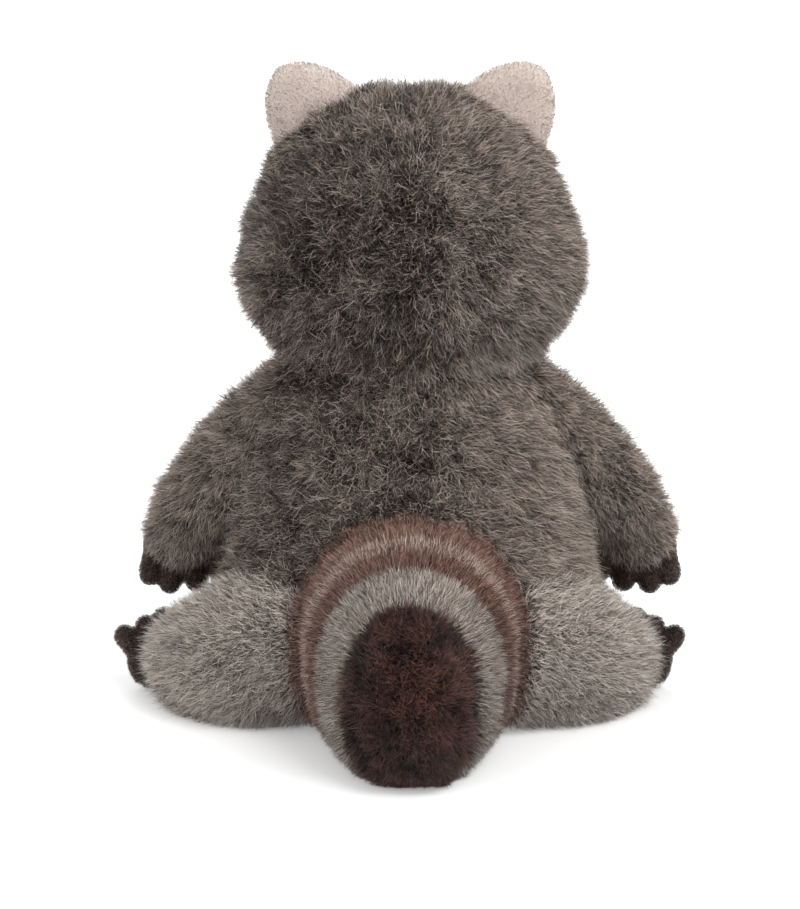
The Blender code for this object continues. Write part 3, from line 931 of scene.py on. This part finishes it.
def plush_pieces() -> list[Plush]:
    """Returns:
    Every stuffed piece of the toy.
    """
    found = [
        Plush("head", GREY, LONG, comb_back, 0.0036, 0.85, EYE_NODES, halves=True),
        Plush("torso", GREY, LONG, comb_back, 0.0038, 0.75, halves=True),
        Plush("tail_brown_root", BROWN, BAND, comb_tail, 0.0026, 0.8, TAIL_NODES, TAIL_CORE),
        Plush("tail_pale_ring", TAUPE, BAND, comb_tail, 0.0022, 0.8, TAIL_NODES, TAIL_CORE),
        Plush("tail_brown_ring", CHESTNUT, BAND, comb_tail, 0.0022, 0.8, TAIL_NODES, TAIL_CORE),
        Plush("tail_grey_ring", ASH, BAND, comb_tail, 0.0024, 0.8, TAIL_NODES, TAIL_CORE),
        Plush("tail_tip", UMBER, TIP, comb_tip, 0.0024, 0.8, TAIL_NODES, TAIL_CORE),
        Plush("muzzle", CREAM, MUZZLE, comb_muzzle, 0.0016),
        Plush("nose", BLACK, FLOCK, comb_short, 0.0008),
    ]
    for side in ("left", "right"):
        found += [
            Plush(f"arm_{side}", GREY, ARM, comb_limb, 0.0028),
            Plush(f"leg_{side}", GREY_LIT, LEG, comb_leg, 0.0028, ignore=(f"foot_{side}",)),
            Plush(f"hand_{side}", FELT, PAW, comb_short, 0.0007),
            Plush(f"foot_{side}", FELT, PAW, comb_short, 0.0007),
            Plush(f"ear_{side}", CREAM, EAR, comb_ear, 0.0013, 0.5, rounds=6),
            Plush(f"ear_lining_{side}", CREAM, LINING, comb_ear, 0.0007, 0.4, rounds=14),
            Plush(f"mask_{side}", FELT, MASK, comb_short, 0.0009, 0.4),
        ]
    return found


@dataclass(frozen=True)
class SafetyEye:
    """A glossy domed eye in place of its plain solid."""

    side: str
    radius: float = 0.0058
    dome: float = 0.0042
    brim: float = 0.0006  # the cylindrical part under the dome
    finish: Finish = Mottled("polished_eye", 0.12, 0.3, 0.0, 0.15, ("0b0706", "1d100b"), 600.0)

    def axis(self) -> tuple[Array, Array]:
        """Returns:
        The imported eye's foremost point and the direction that it looks in.
        """
        node = frame["nodes"][f"eye_{self.side}"]
        world = np.array(node.matrix_world)
        points = coordinates(node.data) @ world[:3, :3].T + world[:3, 3]
        gaps = np.linalg.norm(points[:, None] - points[None], axis=2)
        ends = points[list(np.unravel_index(gaps.argmax(), gaps.shape))]
        apex, stem = ends[np.argsort(ends[:, 1])]
        return apex, unit(apex - stem)

    def build(self) -> None:
        """Turns a ball into a shallow dome with a rounded brim, and sets it on the eye's stem."""
        apex, axis = self.axis()
        bpy.ops.mesh.primitive_uv_sphere_add(segments=40, ring_count=24, radius=self.radius)
        eye = bpy.context.object
        eye.name = eye.data.name = f"dome_{self.side}"
        bpy.ops.object.mode_set(mode="EDIT")
        bpy.ops.transform.resize(value=(1, 1, self.dome / self.radius))
        bpy.ops.mesh.bisect(plane_co=(0, 0, -self.brim), plane_no=(0, 0, 1), use_fill=True, clear_inner=True)
        bpy.ops.mesh.bevel(offset=0.0004, segments=3)
        bpy.ops.object.mode_set(mode="OBJECT")
        turn = Vector(axis).to_track_quat("Z", "Y").to_matrix().to_4x4()
        turn.translation = Vector(apex - axis * self.dome)
        eye.data.transform(turn)
        eye.data.shade_smooth()
        eye.data.materials.append(self.finish.made())
        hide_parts(f"eye_{self.side}")
        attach(eye, "root")


@dataclass(frozen=True)
class Mouth:
    """Three stitched lines on the muzzle, drawn as seen from the front."""

    thread: float = 0.00042  # radius
    lines: tuple[tuple[tuple[float, float], ...], ...] = (
        ((0.0, 0.1615), (0.0, 0.1575), (0.0, 0.1535)),
        ((0.0, 0.1535), (0.0035, 0.1512), (0.0075, 0.1508), (0.0108, 0.1528)),
        ((0.0, 0.1535), (-0.0035, 0.1512), (-0.0075, 0.1508), (-0.0108, 0.1528)),
    )
    finish: Finish = Mottled("thread", 0.6, 0.25, 0.2, 0.0, ("15100e", "3a302c"), 4000.0)

    def build(self) -> None:
        """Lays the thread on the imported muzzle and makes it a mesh."""
        node = frame["nodes"]["muzzle"]
        tree = BVHTree.FromPolygons(
            [node.matrix_world @ v.co for v in node.data.vertices], [tuple(p.vertices) for p in node.data.polygons]
        )
        curve = bpy.data.curves.new("mouth", "CURVE")
        curve.dimensions = "3D"
        curve.bevel_depth = self.thread
        curve.bevel_resolution = 3
        curve.use_fill_caps = True
        for line in self.lines:
            spline = curve.splines.new("BEZIER")
            spline.bezier_points.add(len(line) - 1)
            for point, (x, z) in zip(spline.bezier_points, line):
                hit = tree.ray_cast(Vector((x, -0.2, z)), Vector((0, 1, 0)))
                point.co = hit[0] + hit[1] * 0.0002
                point.handle_left_type = point.handle_right_type = "AUTO"
        drawn = linked("mouth_curve", curve)
        mesh = evaluated_mesh(drawn)
        bpy.data.objects.remove(drawn)
        mouth = linked("mouth_stitch", mesh)
        mesh.materials.clear()
        mesh.materials.append(self.finish.made())
        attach(mouth, "root")


@dataclass(frozen=True)
class Viewpoint:
    """The camera behind the toy, a little above it, as in the photograph."""

    target: tuple[float, float, float] = (0.0039, 0.0, 0.0955)
    distance: float = 1.6
    elevation: float = 15.0  # degrees
    lens: float = 162.7

    def build(self) -> None:
        """Stands the camera."""
        data = bpy.data.cameras.new("camera")
        data.lens = self.lens
        data.sensor_width = 36.0
        data.clip_end = 100.0
        camera = bpy.data.objects.new("camera", data)
        rise = math.radians(self.elevation)
        back = Vector((0, math.cos(rise), math.sin(rise)))
        camera.location = Vector(self.target) + back * self.distance
        camera.rotation_euler = (-back).to_track_quat("-Z", "Y").to_euler()
        bpy.context.scene.collection.objects.link(camera)
        bpy.context.scene.camera = camera


@dataclass(frozen=True)
class WhiteFloor(Finish):
    """A matt floor that reads as plain white to the camera where no shadow falls."""

    near: tuple[float, float] = (0.11, 0.30)  # distance from the toy's middle and the glow there
    far: tuple[float, float] = (0.24, 0.80)
    shade: float = 0.86

    def paint(self, nodes: Nodes, shader: bpy.types.Node) -> None:
        """Adds a glow to what the camera sees of the floor, stronger away from the toy."""
        nodes.feed(shader.inputs["Base Color"], (self.shade, self.shade, self.shade, 1))
        place = nodes.add("TexCoord", {}, {})
        reach = nodes.add("VectorMath", {"operation": "LENGTH"}, {0: place.outputs["Object"]})
        ends = {"From Min": self.near[0], "From Max": self.far[0], "To Min": self.near[1], "To Max": self.far[1]}
        spread = nodes.add("MapRange", {}, {"Value": reach.outputs["Value"], **ends})
        glow = nodes.add("Emission", {}, {"Strength": spread.outputs["Result"]})
        both = nodes.add("AddShader", {}, {0: shader.outputs[0], 1: glow.outputs[0]})
        rays = nodes.add("LightPath", {}, {})
        pick = nodes.add(
            "MixShader", {}, {0: rays.outputs["Is Camera Ray"], 1: shader.outputs[0], 2: both.outputs[0]}
        )
        nodes.feed(nodes.tree.nodes["Material Output"].inputs["Surface"], pick.outputs[0])


@dataclass(frozen=True)
class Lamp:
    """A square soft light that looks at the toy."""

    name: str
    place: tuple[float, float, float]
    size: float
    power: float  # watts

    def build(self) -> None:
        """Hangs the light."""
        data = bpy.data.lights.new(self.name, "AREA")
        data.size = self.size
        data.energy = self.power
        light = bpy.data.objects.new(self.name, data)
        light.location = self.place
        light.rotation_euler = (Vector((0, 0, 0.1)) - Vector(self.place)).to_track_quat("-Z", "Y").to_euler()
        bpy.context.scene.collection.objects.link(light)


@dataclass(frozen=True)
class Studio:
    """The white room: its even light, its lamps and its floor."""

    daylight: float = 0.62
    backdrop: float = 1.22  # what the camera sees of the room
    lamps: tuple[Lamp, ...] = (
        Lamp("key", (-0.9, 1.0, 1.5), 1.1, 22.0),
        Lamp("fill", (1.2, 1.1, 0.9), 1.2, 6.0),
        Lamp("front", (0.55, -1.3, 0.75), 0.9, 11.0),
    )
    floor: Finish = WhiteFloor("white_floor", 1.0, 0.0)
    floor_size: float = 30.0

    def build(self) -> None:
        """Lights the room and lays the floor."""
        world = bpy.data.worlds.new("white_room")
        world.use_nodes = True
        nodes = Nodes(world.node_tree)
        rays = nodes.add("LightPath", {}, {})
        seen = Value(nodes, rays.outputs["Is Camera Ray"])
        sky = world.node_tree.nodes["Background"]
        nodes.feed(sky.inputs["Color"], (1, 1, 1, 1))
        nodes.feed(sky.inputs["Strength"], seen * (self.backdrop - self.daylight) + self.daylight)
        bpy.context.scene.world = world
        bpy.context.scene.view_settings.view_transform = "Standard"
        for lamp in self.lamps:
            lamp.build()
        bpy.ops.mesh.primitive_plane_add(size=self.floor_size, location=(0, 0, 0))
        ground = bpy.context.object
        ground.name = "floor"
        ground.data.materials.append(self.floor.made())


def main() -> None:
    """Builds the whole scene."""
    logging.basicConfig(level=logging.INFO, format="%(message)s")
    bpy.ops.object.select_all(action="DESELECT")
    near = Neighbours()
    for index, piece in enumerate(plush_pieces()):
        piece.sew(near, index * 10)
    for side in ("left", "right"):
        SafetyEye(side).build()
        log.info("eye on the %s", side)
    Mouth().build()
    log.info("mouth")
    Studio().build()
    Viewpoint().build()
    stuffed = [obj for obj in bpy.context.scene.objects if obj.name.startswith(("pile_", "skin_"))]
    log.info("faces of the stuffed pieces: %d", sum(len(obj.data.polygons) for obj in stuffed))


if __name__ == "__main__":
    main()
